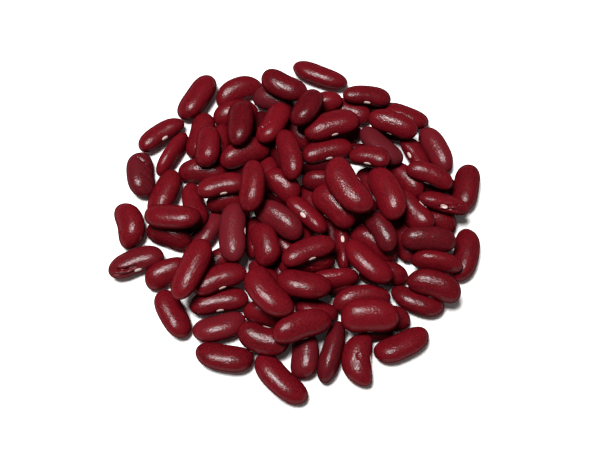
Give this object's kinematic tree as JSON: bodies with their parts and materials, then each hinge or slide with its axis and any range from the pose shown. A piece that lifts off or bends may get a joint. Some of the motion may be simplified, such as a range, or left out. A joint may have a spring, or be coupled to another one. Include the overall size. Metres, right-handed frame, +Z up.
{
  "type": "heap of dried kidney beans",
  "caption": "A loose low heap of dark red dried kidney beans, spread out in about two layers and lying on a flat surface.",
  "frame": {"origin": "on the surface the heap lies on, under the middle of its bounding box", "axes": "+Z up; +Y is the far side of the heap in the picture and +X its right-hand side"},
  "size_m": [0.1136, 0.1152, 0.0212],
  "materials": {
    "bean_skin": null
  },
  "bodies": {
    "root": {"bean_heap": "bean_skin"}
  },
  "joints": []
}
